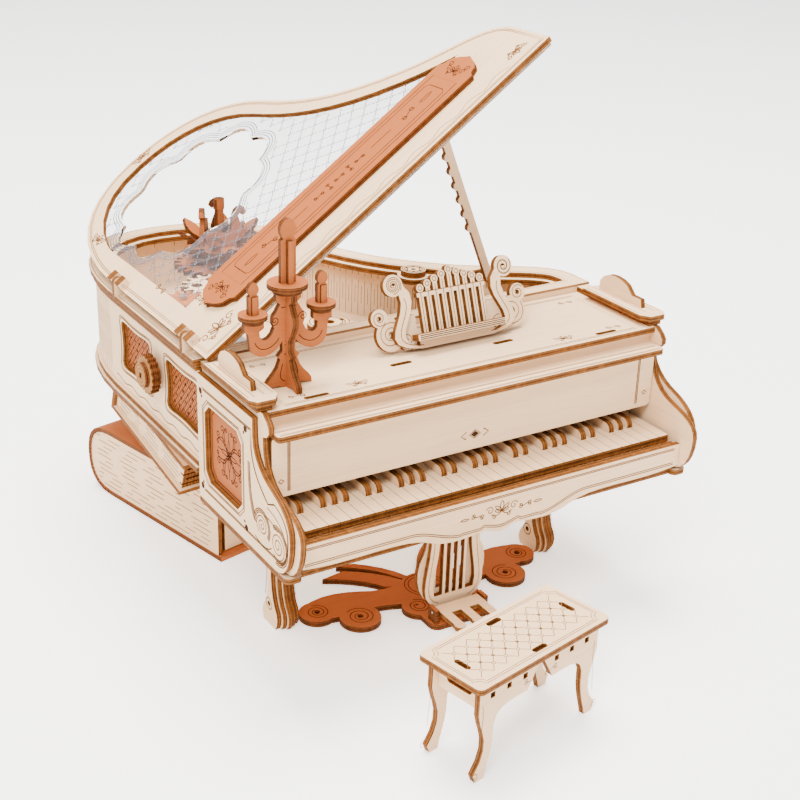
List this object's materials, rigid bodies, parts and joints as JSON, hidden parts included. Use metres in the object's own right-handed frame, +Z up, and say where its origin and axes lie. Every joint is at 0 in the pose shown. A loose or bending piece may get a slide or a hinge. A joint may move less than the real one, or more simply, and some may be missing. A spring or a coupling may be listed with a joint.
{
  "type": "wooden 3d jigsaw model",
  "caption": "Laser-cut plywood puzzle of an open grand piano music box on two books, with carousel, candelabra, music stand, pedal lyre, drawer and bench.",
  "frame": {"origin": "centre of the footprint of piano, books and bench, on the floor", "axes": "+X along the keyboard from bass to treble, +Y from the keyboard towards the tail, +Z up"},
  "size_m": [0.2452, 0.3796, 0.2867],
  "materials": {
    "basswood_ply": "bare cream plywood with laser-browned edges",
    "stained_ply": "orange-brown plywood with dark laser-cut edges",
    "dark_ply": "stacked plywood seen on its laser-browned edges",
    "clear_acrylic": "clear, with a fine engraved lattice",
    "steel": "plain"
  },
  "bodies": {
    "case": {"keybed": "basswood_ply", "key_rails": "basswood_ply", "white_keys": "basswood_ply", "black_keys": "dark_ply", "steel_pins": "steel", "keyslip": "basswood_ply", "cheeks_inner": "basswood_ply", "cheeks_outer": "basswood_ply", "cheek_panels": "stained_ply", "fallboard": "basswood_ply", "name_rail": "stained_ply", "fallboard_shelf": "basswood_ply", "deck": "basswood_ply", "back_board": "basswood_ply", "side_caps": "basswood_ply", "cap_brackets": "basswood_ply", "body_floor": "basswood_ply", "bent_wall": "basswood_ply", "left_side": "basswood_ply", "side_grilles": "stained_ply", "rim": "basswood_ply", "hinge_lugs": "basswood_ply", "soundboard": "basswood_ply", "ornament_discs": "basswood_ply", "movement": "steel", "music_stand": "basswood_ply", "leg_cores": "basswood_ply", "leg_sides": "basswood_ply", "scroll_base": "stained_ply", "lyre": "basswood_ply", "book_cover": "stained_ply", "book_pages": "basswood_ply", "small_cover": "basswood_ply", "small_pages": "basswood_ply"},
    "lid": {"lid_frame": "basswood_ply", "lid_panel": "clear_acrylic", "lid_plank": "stained_ply", "lid_hinges": "basswood_ply", "lid_pins": "steel"},
    "prop": {"lid_prop": "basswood_ply"},
    "carousel": {"carousel_discs": "stained_ply", "carousel_shaft": "stained_ply", "lotus_petals": "stained_ply", "swans": "stained_ply"},
    "idle_wheel": {"idle_gear": "basswood_ply"},
    "drive_wheel": {"drive_gear": "stained_ply"},
    "winder": {"winding_shaft": "steel", "winding_knob": "dark_ply"},
    "key_1": {"playing_key_1": "basswood_ply"},
    "key_2": {"playing_key_2": "basswood_ply"},
    "key_3": {"playing_key_3": "basswood_ply"},
    "pedal_plate": {"pedals": "basswood_ply"},
    "drawer": {"book_drawer": "basswood_ply"},
    "candle_stand": {"candelabra_front": "stained_ply", "candelabra_side": "stained_ply", "drip_trays": "stained_ply", "candles": "stained_ply"},
    "bench": {"bench_top": "basswood_ply", "bench_frames": "basswood_ply", "bench_ends": "basswood_ply"}
  },
  "joints": [
    {"name": "lid_hinge", "type": "hinge", "parent": "case", "child": "lid", "pos_m": [-0.11425, 0.04278, 0.1551], "axis": [0, 1, 0], "range_deg": [0, 35.5]},
    {"name": "prop_fold", "type": "hinge", "parent": "lid", "child": "prop", "pos_m": [0.0392, 0.02678, 0.2508], "axis": [0, 1, 0], "range_deg": [0, 76.9]},
    {"name": "carousel_turn", "type": "hinge", "parent": "case", "child": "carousel", "pos_m": [-0.03675, 0.12478, 0.14], "axis": [0, 0, 1], "continuous": true},
    {"name": "idle_turn", "type": "hinge", "parent": "case", "child": "idle_wheel", "pos_m": [-0.05675, 0.09014, 0.134], "axis": [0, 0, 1], "continuous": true},
    {"name": "drive_turn", "type": "hinge", "parent": "case", "child": "drive_wheel", "pos_m": [-0.081, 0.07614, 0.134], "axis": [0, 0, 1], "continuous": true},
    {"name": "winding_turn", "type": "hinge", "parent": "case", "child": "winder", "pos_m": [-0.11675, 0.03878, 0.121], "axis": [1, 0, 0], "continuous": true},
    {"name": "key_1_press", "type": "hinge", "parent": "case", "child": "key_1", "pos_m": [-0.0486, -0.03922, 0.09], "axis": [1, 0, 0], "range_deg": [0, 2.2], "stiffness_Nm_per_rad": 0.01, "springref_deg": -9.74},
    {"name": "key_2_press", "type": "hinge", "parent": "case", "child": "key_2", "pos_m": [0.0063, -0.03922, 0.09], "axis": [1, 0, 0], "range_deg": [0, 2.2], "stiffness_Nm_per_rad": 0.01, "springref_deg": -9.74},
    {"name": "key_3_press", "type": "hinge", "parent": "case", "child": "key_3", "pos_m": [0.0551, -0.03922, 0.09], "axis": [1, 0, 0], "range_deg": [0, 2.2], "stiffness_Nm_per_rad": 0.01, "springref_deg": -9.74},
    {"name": "pedal_press", "type": "hinge", "parent": "case", "child": "pedal_plate", "pos_m": [0.00325, -0.07322, 0.0086], "axis": [1, 0, 0], "range_deg": [0, 6], "stiffness_Nm_per_rad": 0.006, "springref_deg": -11.46},
    {"name": "drawer_slide", "type": "slide", "parent": "case", "child": "drawer", "axis": [0.2334, -0.9724, 0], "range_m": [0, 0.036]},
    {"name": "candle_stand_lift", "type": "slide", "parent": "case", "child": "candle_stand", "axis": [0, 0, 1], "range_m": [0, 0.03]},
    {"name": "bench_slide", "type": "slide", "parent": "case", "child": "bench", "axis": [0, -1, 0], "range_m": [0, 0.04]}
  ],
  "couplings": [
    {"joint": "prop_fold", "follows": "lid_hinge", "ratio": 2.1662},
    {"joint": "idle_turn", "follows": "carousel_turn", "ratio": -1.5},
    {"joint": "drive_turn", "follows": "carousel_turn", "ratio": 2}
  ]
}
